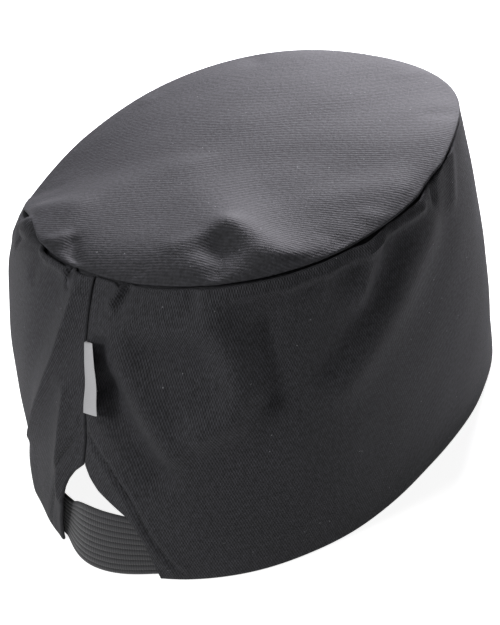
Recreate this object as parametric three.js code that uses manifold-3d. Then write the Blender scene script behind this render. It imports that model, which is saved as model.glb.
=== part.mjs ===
// A plain cloth skull cap: an oval crown sewn to a tall side band, with an arched gap
// at the centre back that an elastic strap closes, and a small bare tab in the back seam.
// Millimetres, +Z up. The forehead is at -Y, the back seam and the strap at +Y,
// and the wearer's right at -X. The cap rests on its rim, which is the plane Z = 0.
import * as THREE from 'three';
import { mergeVertices } from 'three/addons/utils/BufferGeometryUtils.js';
import Module from 'manifold-3d';

// Rim, where the head goes in
const RIM_LENGTH = 202;
const RIM_WIDTH = 160;

// Crown seam, moved forward and to the wearer's right of the rim
const CROWN_LENGTH = 168;
const CROWN_WIDTH = 157;
const CROWN_FORWARD = 7.5;
const CROWN_ASIDE = 6.5;
const CROWN_RISE = 3.5;
const HEIGHT = 114;
const WALL_BULGE = 4.6;

// Powers of the ovals, of the wall's bulge and of the crown's rise
const OVAL_POWER = 2.15;
const BULGE_POWER = 0.8;
const RISE_POWER = 4;

// Cloth, seams and hems
const CLOTH = 1.5;
const CLEARANCE = 0.3;
const SEAM_ROLL = 1.5;
const SEAM_ALLOWANCE = 9;
const HEM_DEPTH = 10;
const HEM_CLOTH = 1;
const HEM_EASE = 2;

// Folds and dents
const FOLD_WIDTH = 9;
const WALL_FOLD = 2.2;
const CROWN_FOLD = 3.5;
const FOLD_FADE = 8;

// Arched gap at the centre back
const ARCH_HEIGHT = 45;
const ARCH_RIGHT = 26.5;
const ARCH_LEFT = 22.5;

// Elastic strap across the gap
const STRAP_WIDTH = 26;
const STRAP_THICKNESS = 1.6;
const STRAP_RAISE = 0.5;
const STRAP_BOW = 4.5;
const BOW_POWER = 1.5;
const STRAP_LAP = 12;
const STRAP_RIBS = 11;
const RIB_DEPTH = 0.5;

// Tab in the back seam
const LABEL_LENGTH = 26;
const LABEL_WIDTH = 10;
const LABEL_THICKNESS = 0.8;
const LABEL_FOOT = 67;
const LABEL_LIFT_ANGLE = 24;

// Fineness of the meshes
const COLUMNS = 90;
const BACK_GATHER = 0.45;
const WALL_ROWS = 12;
const ROW_GATHER = 0.6;
const CROWN_RINGS = 10;
const CROWN_LINING_RINGS = 6;
const ROLL_STEPS = 4;
const FLANGE_STEPS = 2;
const STRAP_STEPS = 14;
const LABEL_STEPS = 4;
const ARCH_STEPS = 24;

// Shares of the sizes above, one row every 30 degrees from the centre back
// towards the wearer's right
const ROUND = [
  { rim: 1.000, seam: 0.980, height: 1.010, bulge: 1.50, rise: 1.5 },
  { rim: 1.010, seam: 0.990, height: 1.010, bulge: 1.20, rise: 2.0 },
  { rim: 1.015, seam: 1.000, height: 1.005, bulge: 1.00, rise: 1.6 },
  { rim: 0.985, seam: 1.010, height: 1.015, bulge: 0.90, rise: 1.2 },
  { rim: 0.985, seam: 0.990, height: 1.035, bulge: 0.90, rise: 1.0 },
  { rim: 1.005, seam: 1.010, height: 1.000, bulge: 0.40, rise: 1.0 },
  { rim: 1.000, seam: 1.000, height: 0.980, bulge: 0.85, rise: 1.0 },
  { rim: 1.000, seam: 1.000, height: 0.970, bulge: 0.95, rise: 1.0 },
  { rim: 1.000, seam: 0.995, height: 0.955, bulge: 1.05, rise: 1.0 },
  { rim: 1.000, seam: 1.000, height: 0.930, bulge: 1.50, rise: 1.0 },
  { rim: 0.995, seam: 1.020, height: 0.910, bulge: 2.40, rise: 1.2 },
  { rim: 0.985, seam: 1.000, height: 1.030, bulge: 0.85, rise: 1.3 },
];

// Folds of the band, from one place to another: angles in degrees from the centre back,
// heights as shares of the wall, width and lift as shares of FOLD_WIDTH and WALL_FOLD
const WALL_FOLDS = [
  { angle: -4, height: 0.96, toAngle: -14, toHeight: 0.56, width: 0.6, lift: 0.9 },
  { angle: -14, height: 0.56, toAngle: -28, toHeight: 0.20, width: 0.9, lift: 0.8 },
  { angle: -12, height: 0.88, toAngle: -22, toHeight: 0.50, width: 0.9, lift: -0.6 },
  { angle: -5, height: 0.62, toAngle: -9, toHeight: 0.05, width: 0.6, lift: 0.8 },
  { angle: 8, height: 0.86, toAngle: 20, toHeight: 0.55, width: 0.9, lift: 0.9 },
  { angle: 6, height: 0.66, toAngle: 16, toHeight: 0.42, width: 0.9, lift: -0.9 },
  { angle: 37, height: 0.92, toAngle: 32, toHeight: 0.66, width: 1.4, lift: 1.0 },
  { angle: 43, height: 0.86, toAngle: 41, toHeight: 0.64, width: 0.9, lift: -0.6 },
  { angle: 92, height: 0.88, toAngle: 62, toHeight: 0.60, width: 1.3, lift: 0.7 },
  { angle: 82, height: 0.92, toAngle: 58, toHeight: 0.66, width: 0.9, lift: -0.5 },
  { angle: -60, height: 0.80, toAngle: -75, toHeight: 0.35, width: 1.6, lift: 0.7 },
  { angle: -115, height: 0.85, toAngle: -105, toHeight: 0.45, width: 1.8, lift: -0.6 },
  { angle: 150, height: 0.85, toAngle: 165, toHeight: 0.40, width: 1.8, lift: -0.6 },
];

// Folds of the crown: radii as shares of the way from the crown's middle to its seam,
// width and lift as shares of FOLD_WIDTH and CROWN_FOLD
const CROWN_FOLDS = [
  { angle: 38, radius: 0.97, toAngle: 39, toRadius: 0.72, width: 1.1, lift: -1.0 },
  { angle: 36, radius: 0.52, toAngle: 51, toRadius: 0.84, width: 1.0, lift: 0.5 },
  { angle: 27, radius: 0.92, toAngle: 20, toRadius: 0.72, width: 1.2, lift: 0.4 },
  { angle: -10, radius: 0.97, toAngle: -14, toRadius: 0.86, width: 0.6, lift: -0.6 },
  { angle: 92, radius: 0.97, toAngle: 92, toRadius: 0.70, width: 0.8, lift: -0.5 },
  { angle: 100, radius: 0.95, toAngle: 97, toRadius: 0.60, width: 1.0, lift: 0.4 },
  { angle: -40, radius: 0.95, toAngle: -30, toRadius: 0.80, width: 0.9, lift: 0.5 },
];

// Half widths of the gap, as shares of ARCH_RIGHT and ARCH_LEFT
const ARCH = [
  { height: 0.0, right: 1.00, left: 1.00 },
  { height: 0.2, right: 0.90, left: 0.87 },
  { height: 0.4, right: 0.81, left: 0.72 },
  { height: 0.6, right: 0.62, left: 0.56 },
  { height: 0.7, right: 0.40, left: 0.45 },
  { height: 0.8, right: 0.19, left: 0.35 },
  { height: 0.9, right: 0.07, left: 0.21 },
  { height: 1.0, right: 0.00, left: 0.00 },
];

const CLOTH_COLOUR = 0x2b2b2f;
const STRAP_COLOUR = 0x1d1d1f;
const LABEL_COLOUR = 0xa9a9a9;

const { clamp, degToRad, euclideanModulo, lerp, radToDeg, smoothstep } = THREE.MathUtils;

// The value of one column of ROUND at an angle, on a smooth closed curve
function share(column, angle) {
  const count = ROUND.length;
  const place = (angle / 360) * count;
  const row = Math.floor(place);
  const u = place - row;
  const [a, b, c, d] = [-1, 0, 1, 2].map((step) => ROUND[euclideanModulo(row + step, count)][column]);
  const slope = (c - a) / 2;
  const nextSlope = (d - b) / 2;
  const bend = 3 * (c - b) - 2 * slope - nextSlope;
  const twist = 2 * (b - c) + slope + nextSlope;
  return b + u * (slope + u * (bend + u * twist));
}

// The value of one column of ARCH at a share of the gap's height
function archShare(column, height) {
  const next = Math.max(1, ARCH.findIndex((row) => row.height >= height));
  const [low, high] = [ARCH[next - 1], ARCH[next]];
  const u = (height - low.height) / (high.height - low.height);
  return lerp(low[column], high[column], clamp(u, 0, 1));
}

// Radius of a superellipse at an angle from the centre back
function ovalRadius(angle, length, width) {
  const along = Math.abs(Math.cos(degToRad(angle)) / (length / 2)) ** OVAL_POWER;
  const across = Math.abs(Math.sin(degToRad(angle)) / (width / 2)) ** OVAL_POWER;
  return (along + across) ** (-1 / OVAL_POWER);
}

function outward(angle) {
  return new THREE.Vector3(-Math.sin(degToRad(angle)), Math.cos(degToRad(angle)), 0);
}

function rimPoint(angle) {
  const radius = ovalRadius(angle, RIM_LENGTH, RIM_WIDTH) * share('rim', angle);
  return outward(angle).multiplyScalar(radius);
}

function crownMiddle() {
  return new THREE.Vector3(-CROWN_ASIDE, -CROWN_FORWARD, HEIGHT);
}

function seamPoint(angle) {
  const radius = ovalRadius(angle, CROWN_LENGTH, CROWN_WIDTH) * share('seam', angle);
  const point = outward(angle).multiplyScalar(radius).add(crownMiddle());
  point.z = HEIGHT * share('height', angle);
  return point;
}

// Distance from a place to a fold's line, all in millimetres on the flat
function distanceToLine(place, start, end) {
  const run = end.clone().sub(start);
  const along = clamp(place.clone().sub(start).dot(run) / run.lengthSq(), 0, 1);
  return place.distanceTo(start.clone().addScaledVector(run, along));
}

function foldLift(distance, fold) {
  return fold.lift * Math.exp(-((distance / (fold.width * FOLD_WIDTH)) ** 2));
}

// How far the band's folds move the wall outwards at an angle and a share of its height
function wallFolds(angle, height) {
  const arcPerDegree = degToRad(1) * (RIM_LENGTH + RIM_WIDTH) / 4;
  let lift = 0;
  for (const fold of WALL_FOLDS) {
    const turn = euclideanModulo(angle - fold.angle + 180, 360) - 180;
    const place = new THREE.Vector2(turn * arcPerDegree, (height - fold.height) * HEIGHT);
    const end = new THREE.Vector2(
      (fold.toAngle - fold.angle) * arcPerDegree,
      (fold.toHeight - fold.height) * HEIGHT,
    );
    lift += foldLift(distanceToLine(place, new THREE.Vector2(), end), fold);
  }
  return WALL_FOLD * lift;
}

// A place on the crown, seen from above and measured from its middle
function crownPlace(angle, radius) {
  const reach = ovalRadius(angle, CROWN_LENGTH, CROWN_WIDTH) * radius;
  return new THREE.Vector2(-Math.sin(degToRad(angle)), Math.cos(degToRad(angle))).multiplyScalar(reach);
}

// How far the crown's folds lift the cloth at an angle and a share of its radius
function crownFolds(angle, radius) {
  const place = crownPlace(angle, radius);
  let lift = 0;
  for (const fold of CROWN_FOLDS) {
    const start = crownPlace(fold.angle, fold.radius);
    const end = crownPlace(fold.toAngle, fold.toRadius);
    lift += foldLift(distanceToLine(place, start, end), fold);
  }
  return CROWN_FOLD * lift;
}

// A place on the band's outer face without its folds
function smoothWall(angle, height) {
  const bulge = WALL_BULGE * share('bulge', angle) * Math.sin(Math.PI * clamp(height, 0, 1)) ** BULGE_POWER;
  return rimPoint(angle).lerp(seamPoint(angle), height).addScaledVector(outward(angle), bulge);
}

// A place on the band's outer face, before its top edge rolls in to the seam
function wallPoint(angle, height) {
  return smoothWall(angle, height).addScaledVector(outward(angle), wallFolds(angle, height));
}

// Rolling in by an eighth of a turn at a seam: how far in and how far along, as shares
function rollIn(turn) {
  return 1 - Math.cos(turn * Math.PI / 4);
}

function rollAlong(turn) {
  return Math.sin(turn * Math.PI / 4) / Math.sin(Math.PI / 4);
}

// Doubled cloth inside the rim's hem and round the gap, as a share of one more layer
function hemShare(point) {
  const height = point.z / ARCH_HEIGHT;
  const right = ARCH_RIGHT * archShare('right', clamp(height, 0, 1));
  const left = ARCH_LEFT * archShare('left', clamp(height, 0, 1));
  const sideways = point.x - seamLean(point.z);
  const aside = Math.max(-sideways - right, sideways - left, 0);
  const above = Math.max(point.z - ARCH_HEIGHT, 0);
  const beside = point.y > 0 ? Math.hypot(aside, above) : Infinity;
  const nearest = Math.min(point.z, beside);
  return 1 - smoothstep(nearest, HEM_DEPTH - HEM_EASE, HEM_DEPTH);
}

// The back seam leans, because the crown sits aside of the rim
function seamLean(z) {
  return -CROWN_ASIDE * z / HEIGHT;
}

function liningPoint(angle, height) {
  const point = wallPoint(angle, height);
  const depth = CLOTH + HEM_CLOTH * hemShare(point);
  return point.addScaledVector(outward(angle), -depth);
}

// Shares from 0 to 1 that gather towards both ends
function gathered(u, gather) {
  return u - gather * Math.sin(2 * Math.PI * u) / (2 * Math.PI);
}

// Angles of the columns, gathered towards the centre back where the small shapes are
function columnAngles() {
  const angles = [];
  for (let column = 0; column < COLUMNS; column += 1) {
    angles.push(360 * gathered(column / COLUMNS, BACK_GATHER));
  }
  return angles;
}

// A closed body from rings of points; each ring is one column's section
function sweepRings(sections, closedRound) {
  const positions = [];
  const indices = [];
  const ringSize = sections[0].length;
  sections.flat().forEach((point) => positions.push(point.x, point.y, point.z));
  const spans = closedRound ? sections.length : sections.length - 1;
  for (let span = 0; span < spans; span += 1) {
    const here = span * ringSize;
    const there = ((span + 1) % sections.length) * ringSize;
    for (let step = 0; step < ringSize; step += 1) {
      const next = (step + 1) % ringSize;
      indices.push(here + step, there + step, there + next);
      indices.push(here + step, there + next, here + next);
    }
  }
  const geometry = new THREE.BufferGeometry();
  geometry.setAttribute('position', new THREE.Float32BufferAttribute(positions, 3));
  geometry.setIndex(indices);
  return geometry;
}

// Flat ends for an open sweep, as fans from a point in the middle of each end section
function closeEnds(geometry, sections) {
  const ringSize = sections[0].length;
  const positions = Array.from(geometry.getAttribute('position').array);
  const indices = Array.from(geometry.getIndex().array);
  const ends = [
    { section: sections[0], first: 0, flip: false },
    { section: sections.at(-1), first: (sections.length - 1) * ringSize, flip: true },
  ];
  for (const { section, first, flip } of ends) {
    const middle = section.reduce((sum, point) => sum.add(point), new THREE.Vector3());
    middle.divideScalar(ringSize);
    const centre = positions.length / 3;
    positions.push(middle.x, middle.y, middle.z);
    for (let step = 0; step < ringSize; step += 1) {
      const here = first + step;
      const next = first + ((step + 1) % ringSize);
      indices.push(centre, flip ? next : here, flip ? here : next);
    }
  }
  const closed = new THREE.BufferGeometry();
  closed.setAttribute('position', new THREE.Float32BufferAttribute(positions, 3));
  closed.setIndex(indices);
  return closed;
}

// Turns a body inside out if its triangles wind the wrong way
function facingOut(geometry) {
  const position = geometry.getAttribute('position');
  const index = Array.from(geometry.getIndex().array);
  const corner = (slot) => new THREE.Vector3().fromBufferAttribute(position, index[slot]);
  let volume = 0;
  for (let slot = 0; slot < index.length; slot += 3) {
    volume += corner(slot).dot(corner(slot + 1).cross(corner(slot + 2)));
  }
  if (volume < 0) {
    geometry.setIndex(index.reverse());
  }
  return geometry;
}

// Crown: a thin cloth, rolled over at its edge and turned down inside the band
function crownTop(angle, radius) {
  const edge = seamPoint(angle);
  const middle = crownMiddle();
  const point = middle.clone().lerp(edge, radius);
  point.z = lerp(middle.z, edge.z, radius * radius);
  const rise = CROWN_RISE * lerp(1, share('rise', angle), radius * radius);
  const fade = smoothstep((1 - radius) * CROWN_WIDTH / 2, 0, FOLD_FADE);
  point.z += CLEARANCE + (1 + Math.SQRT1_2) * SEAM_ROLL;
  point.z += rise * (1 - radius ** RISE_POWER) + crownFolds(angle, radius) * fade;
  return point;
}

// The turned-down edge and the band's lining share these heights, so their gap stays even
function flangeHeight(step) {
  return 1 - (SEAM_ALLOWANCE / HEIGHT) * step / FLANGE_STEPS;
}

function crownSection(angle) {
  const edge = seamPoint(angle);
  const out = outward(angle);
  const reach = edge.distanceTo(crownMiddle());
  const rollStart = 1 - SEAM_ROLL / reach;
  const section = [];
  for (let ring = 1; ring <= CROWN_RINGS; ring += 1) {
    section.push(crownTop(angle, rollStart * ring / CROWN_RINGS));
  }
  const rollCentre = edge.clone().addScaledVector(out, -SEAM_ROLL);
  rollCentre.z += CLEARANCE + SEAM_ROLL * Math.SQRT1_2;
  for (let step = 1; step <= ROLL_STEPS; step += 1) {
    const turn = lerp(Math.PI / 2, -Math.PI / 4, step / ROLL_STEPS);
    const point = rollCentre.clone().addScaledVector(out, SEAM_ROLL * Math.cos(turn));
    point.z += SEAM_ROLL * Math.sin(turn);
    section.push(point);
  }
  const flange = (step, inset) => {
    const point = liningPoint(angle, flangeHeight(step));
    return point.addScaledVector(out, -CLEARANCE - inset);
  };
  const shoulder = flange(0, 0);
  shoulder.z = section.at(-1).z;
  section.push(shoulder);
  for (let step = 1; step <= FLANGE_STEPS; step += 1) {
    section.push(flange(step, 0));
  }
  for (let step = FLANGE_STEPS; step >= 1; step -= 1) {
    section.push(flange(step, CLOTH));
  }
  const lining = (radius) => {
    const point = crownTop(angle, radius);
    point.z -= CLOTH;
    return point;
  };
  const liningReach = 1 - (SEAM_ROLL + CLOTH + CLEARANCE + CLOTH) / reach;
  for (let ring = CROWN_LINING_RINGS; ring >= 1; ring -= 1) {
    section.push(lining(liningReach * ring / CROWN_LINING_RINGS));
  }
  return section;
}

function crownGeometry() {
  const sections = columnAngles().map(crownSection);
  const ringSize = sections[0].length;
  const positions = sections.flat().flatMap((point) => [point.x, point.y, point.z]);
  const top = positions.length / 3;
  const middle = crownTop(0, 0);
  positions.push(middle.x, middle.y, middle.z, middle.x, middle.y, middle.z - CLOTH);
  const indices = [];
  sections.forEach((section, column) => {
    const here = column * ringSize;
    const there = ((column + 1) % sections.length) * ringSize;
    indices.push(top, here, there);
    for (let step = 0; step < ringSize - 1; step += 1) {
      indices.push(here + step, here + step + 1, there + step + 1);
      indices.push(here + step, there + step + 1, there + step);
    }
    indices.push(top + 1, there + ringSize - 1, here + ringSize - 1);
  });
  const geometry = new THREE.BufferGeometry();
  geometry.setAttribute('position', new THREE.Float32BufferAttribute(positions, 3));
  geometry.setIndex(indices);
  return facingOut(geometry);
}

// Side band: a closed wall with a flat rim, before the gap is cut
function bandSection(angle) {
  const out = outward(angle);
  const rollShare = SEAM_ROLL * Math.SQRT1_2 / HEIGHT;
  const section = [];
  for (let row = 0; row <= WALL_ROWS; row += 1) {
    section.push(wallPoint(angle, (1 - rollShare) * gathered(row / WALL_ROWS, ROW_GATHER)));
  }
  for (let step = 1; step <= ROLL_STEPS; step += 1) {
    const turn = step / ROLL_STEPS;
    const point = wallPoint(angle, 1 - rollShare * (1 - rollAlong(turn)));
    section.push(point.addScaledVector(out, -SEAM_ROLL * rollIn(turn)));
  }
  for (let step = 0; step < FLANGE_STEPS; step += 1) {
    section.push(liningPoint(angle, flangeHeight(step)));
  }
  for (let row = WALL_ROWS - 1; row >= 0; row -= 1) {
    const height = flangeHeight(FLANGE_STEPS) * gathered(row / (WALL_ROWS - 1), ROW_GATHER);
    section.push(liningPoint(angle, height));
  }
  return section;
}

// The gap's outline, pushed straight through the back of the band
function archCutter() {
  const outline = new THREE.Shape();
  const below = HEM_DEPTH;
  outline.moveTo(-ARCH_RIGHT, -below);
  outline.lineTo(ARCH_LEFT, -below);
  for (let step = 0; step <= ARCH_STEPS; step += 1) {
    const height = step / ARCH_STEPS;
    const z = ARCH_HEIGHT * height;
    outline.lineTo(seamLean(z) + ARCH_LEFT * archShare('left', height), z);
  }
  for (let step = ARCH_STEPS - 1; step >= 0; step -= 1) {
    const height = step / ARCH_STEPS;
    const z = ARCH_HEIGHT * height;
    outline.lineTo(seamLean(z) - ARCH_RIGHT * archShare('right', height), z);
  }
  outline.closePath();
  const cutter = new THREE.ExtrudeGeometry(outline, { depth: RIM_LENGTH, bevelEnabled: false });
  cutter.rotateX(Math.PI / 2);
  cutter.translate(0, RIM_LENGTH, 0);
  return cutter;
}

const wasm = await Module();
wasm.setup();

function toSolid(geometry) {
  const bare = geometry.clone();
  bare.deleteAttribute('normal');
  bare.deleteAttribute('uv');
  const merged = mergeVertices(bare);
  const vertProperties = new Float32Array(merged.getAttribute('position').array);
  const triVerts = new Uint32Array(merged.getIndex().array);
  return new wasm.Manifold(new wasm.Mesh({ numProp: 3, vertProperties, triVerts }));
}

function fromSolid(solid) {
  const mesh = solid.getMesh();
  const geometry = new THREE.BufferGeometry();
  geometry.setAttribute('position', new THREE.Float32BufferAttribute(mesh.vertProperties, 3));
  geometry.setIndex(Array.from(mesh.triVerts));
  return geometry;
}

function bandGeometry() {
  const wall = facingOut(sweepRings(columnAngles().map(bandSection), true));
  return fromSolid(toSolid(wall).subtract(toSolid(archCutter())));
}

// Elastic strap: ribbed along its length, lapping inside the hem beside the gap
// and bowing out a little between the gap's edges
function strapAngle(reach) {
  return radToDeg(Math.atan2(reach, RIM_LENGTH / 2));
}

function strapBow(angle, z) {
  const height = clamp(z / ARCH_HEIGHT, 0, 1);
  const left = ARCH_LEFT * archShare('left', height);
  const right = ARCH_RIGHT * archShare('right', height);
  const away = Math.abs(angle) / strapAngle(angle < 0 ? left : right);
  return STRAP_BOW * Math.max(1 - away * away, 0) ** BOW_POWER;
}

function strapSection(angle) {
  const out = outward(angle);
  const outline = [];
  const pitch = STRAP_WIDTH / STRAP_RIBS;
  const place = (z, inset) => {
    const depth = CLOTH + HEM_CLOTH + CLEARANCE + inset - strapBow(angle, z);
    return smoothWall(angle, z / seamPoint(angle).z).addScaledVector(out, -depth);
  };
  for (let rib = 0; rib < STRAP_RIBS; rib += 1) {
    const foot = STRAP_RAISE + rib * pitch;
    outline.push(place(foot, RIB_DEPTH));
    outline.push(place(foot + pitch / 2, 0));
  }
  outline.push(place(STRAP_RAISE + STRAP_WIDTH, RIB_DEPTH));
  outline.push(place(STRAP_RAISE + STRAP_WIDTH, STRAP_THICKNESS));
  outline.push(place(STRAP_RAISE, STRAP_THICKNESS));
  return outline;
}

function strapGeometry() {
  const first = -strapAngle(ARCH_LEFT + STRAP_LAP);
  const last = strapAngle(ARCH_RIGHT + STRAP_LAP);
  const sections = [];
  for (let step = 0; step <= STRAP_STEPS; step += 1) {
    sections.push(strapSection(lerp(first, last, step / STRAP_STEPS)));
  }
  return facingOut(closeEnds(sweepRings(sections, false), sections));
}

// Tab: a small folded tape, held in the back seam and standing off the wall
function labelSection(height) {
  const root = wallPoint(0, height).addScaledVector(outward(0), CLEARANCE);
  const lift = degToRad(LABEL_LIFT_ANGLE);
  const along = new THREE.Vector3(-Math.cos(lift), Math.sin(lift), 0);
  const across = new THREE.Vector3(Math.sin(lift), Math.cos(lift), 0);
  const far = root.clone().addScaledVector(along, LABEL_WIDTH);
  return [
    root.clone().addScaledVector(across, LABEL_THICKNESS),
    root,
    far,
    far.clone().addScaledVector(across, LABEL_THICKNESS),
  ];
}

function labelGeometry() {
  const sections = [];
  for (let step = 0; step <= LABEL_STEPS; step += 1) {
    sections.push(labelSection((LABEL_FOOT + LABEL_LENGTH * step / LABEL_STEPS) / HEIGHT));
  }
  return facingOut(closeEnds(sweepRings(sections, false), sections));
}

function piece(name, geometry, color, roughness) {
  const material = new THREE.MeshStandardMaterial({ color, roughness, metalness: 0 });
  const mesh = new THREE.Mesh(geometry, material);
  mesh.name = name;
  return mesh;
}

const cap = new THREE.Group();
cap.add(piece('crown', crownGeometry(), CLOTH_COLOUR, 0.9));
cap.add(piece('side_band', bandGeometry(), CLOTH_COLOUR, 0.9));
cap.add(piece('elastic_strap', strapGeometry(), STRAP_COLOUR, 0.85));
cap.add(piece('seam_label', labelGeometry(), LABEL_COLOUR, 0.7));

// The origin is under the middle of the cap's box, on the plane of the rim
const middle = new THREE.Box3().setFromObject(cap).getCenter(new THREE.Vector3());
cap.position.set(-middle.x, -middle.y, 0);

const part = new THREE.Group();
part.add(cap);
export default part;
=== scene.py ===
"""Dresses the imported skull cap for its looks, as a Blender add-on that is run as a script.

Each cloth piece is laid over its plain solid as a thin sheet with hems, folds and stitches.
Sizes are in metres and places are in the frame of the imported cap: the rim rests on Z = 0,
the forehead is at -Y, the back seam and the strap at +Y, and the wearer's right at -X.
Angles run from the centre back towards the wearer's right, in degrees.
"""

import math
from collections import namedtuple
from functools import partial

import bpy
import numpy as np
from mathutils import Matrix, Vector


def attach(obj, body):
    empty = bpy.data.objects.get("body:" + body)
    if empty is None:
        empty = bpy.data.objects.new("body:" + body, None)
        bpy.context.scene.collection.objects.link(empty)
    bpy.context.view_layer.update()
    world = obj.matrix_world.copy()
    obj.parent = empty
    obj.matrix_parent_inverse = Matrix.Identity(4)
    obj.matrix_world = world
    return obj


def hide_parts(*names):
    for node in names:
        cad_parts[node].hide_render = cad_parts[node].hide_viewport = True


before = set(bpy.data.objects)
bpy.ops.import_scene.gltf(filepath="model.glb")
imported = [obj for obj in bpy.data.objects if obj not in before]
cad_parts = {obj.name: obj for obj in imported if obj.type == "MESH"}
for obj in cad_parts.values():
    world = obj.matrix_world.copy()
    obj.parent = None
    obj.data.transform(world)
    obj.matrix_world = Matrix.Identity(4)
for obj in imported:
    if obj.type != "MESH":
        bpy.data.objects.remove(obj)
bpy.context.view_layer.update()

bl_info = {
    "name": "Skull cap",
    "version": (1, 0, 0),
    "blender": (4, 5, 0),
    "location": "3D View > Sidebar > Skull cap",
    "description": "Sews the cloth, strap, label and stitches of a plain skull cap",
    "category": "Object",
}

BODY = "root"

# The plain shape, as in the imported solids
RIM_MIDDLE = np.array((0.0013, -0.00065, 0.0))
RIM_LENGTH = 0.202
RIM_WIDTH = 0.160
CROWN_LENGTH = 0.168
CROWN_WIDTH = 0.157
CROWN_FORWARD = 0.0075
CROWN_ASIDE = 0.0065
CROWN_RISE = 0.0035
HEIGHT = 0.114
WALL_BULGE = 0.0046
OVAL_POWER = 2.15
BULGE_POWER = 0.8
RISE_POWER = 4
TILT_POWER = 2.2

# Arched gap at the centre back
ARCH_HEIGHT = 0.045
ARCH_RIGHT = 0.0265
ARCH_LEFT = 0.0225

# Strap across the gap. It bows outwards between the hems, most at its foot, and narrows
# towards each hem by a share of its width
STRAP_WIDTH = 0.026
STRAP_FOOT = 0.0005
STRAP_LAP = 0.012
STRAP_CLEAR = 0.0003
STRAP_BOW = 0.0052
STRAP_BOW_TOP = 0.0018
BOW_POWER = 1.5
STRAP_NARROW_LEFT = 0.17
STRAP_NARROW_RIGHT = 0.06
RIB_POWER = 0.7
RIB_GROOVE = 0.55
STRAP_EDGE_POWER = 24

# Label in the back seam: a folded tape, sunk in the seam and bent over beside it. It lifts
# off the band by some degrees and rises as it stands out
LABEL_FOOT = 0.067
LABEL_TAPE = 0.00025
LABEL_FOLD = 0.00035
LABEL_FOLD_POWER = 6
LABEL_SUNK = 0.0012
LABEL_BEND = 0.0004
LABEL_LIFT_LOW = 15
LABEL_LIFT_HIGH = 26
LABEL_RISE_LOW = 0.32
LABEL_RISE_HIGH = 0.50

# Seams and hems: the gap between two pieces, how far from the crown's edge its folds and
# creases fade, the turns of the tuck under it, and the weave's run for each ring of a hem
SEAM_GAP = 0.0001
FOLD_FADE = 0.005
CREASE_FADE = 0.003
TUCK_TURNS = (30, 60, 90)
SHOULDER_START = 0.9
HEM_PITCH = 0.0012

# Faint ripple: waves in turned directions, each longer than the one before
RIPPLE_WAVES = 7
RIPPLE_TURN = 2.4
RIPPLE_LENGTH = 0.017
RIPPLE_STEP = 0.006
RIPPLE_SUM = 3

# Weave and lint: pitches as shares of the band's twill, depths, and the specks of lint,
# of which one shows where its cell's chance is above the rarity
THREAD_PITCH = 1.1
CROWN_PITCH = 1.4
TWILL_DEPTH = 0.00016
FIBRE_DEPTH = 0.00008
LINT_SPACING = 0.0048
LINT_SHARE = 0.05
LINT_RARITY = 0.55
LINT_COLOUR = (0.15, 0.15, 0.16)

# Fineness of the meshes
BAND_COLUMNS = 400
BAND_ROWS = 90
BAND_GATHER = 0.6
CROWN_COLUMNS = 360
CROWN_RINGS = 80
ROLL_STEPS = 6
HEM_STEPS = 3
STRAP_COLUMNS = 150
STRAP_ROWS = 88
LABEL_COLUMNS = 60
LABEL_ROWS = 40
SMOOTH_ANGLE = 50
ANGLE_STEP = 0.05
SHARE_STEP = 0.0005
TINY = 1e-6

# Shares of the sizes above, one row every 30 degrees from the centre back
ROUND_COLUMNS = ("rim", "seam", "height", "bulge", "rise", "plateau")
ROUND = (
    (1.000, 0.980, 1.010, 1.50, 2.0, 1.3),
    (1.010, 0.990, 1.010, 1.20, 3.3, 1.3),
    (1.015, 1.000, 1.005, 1.00, 1.1, 2.0),
    (0.985, 1.010, 1.015, 0.90, 0.8, 2.5),
    (0.985, 0.990, 1.035, 0.90, 1.0, 2.0),
    (1.005, 1.010, 1.000, 0.40, 1.0, 1.0),
    (1.000, 1.000, 0.980, 0.85, 1.0, 1.0),
    (1.000, 1.000, 0.970, 0.95, 1.0, 1.0),
    (1.000, 0.995, 0.955, 1.05, 1.0, 1.0),
    (1.000, 1.000, 0.930, 1.50, 1.2, 0.8),
    (0.995, 1.020, 0.910, 2.40, 1.3, 0.8),
    (0.985, 1.000, 1.030, 0.85, 1.3, 0.9),
)

# Half widths of the gap as shares, from its foot to its top
ARCH_COLUMNS = ("height", "right", "left")
ARCH = (
    (0.0, 1.00, 1.02),
    (0.2, 0.90, 0.85),
    (0.4, 0.81, 0.67),
    (0.6, 0.62, 0.52),
    (0.7, 0.40, 0.45),
    (0.8, 0.19, 0.35),
    (0.9, 0.07, 0.21),
    (1.0, 0.00, 0.00),
)

# Folds along a line of points, each an angle and a place: on the band a share of the
# height, and on the crown a share of the radius. Width and lift are shares of the fold
# sizes, and the sharpness is 2 for a round fold and nearer 1 for a crease
Fold = namedtuple("Fold", "line width lift sharpness", defaults=(2.0,))

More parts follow.
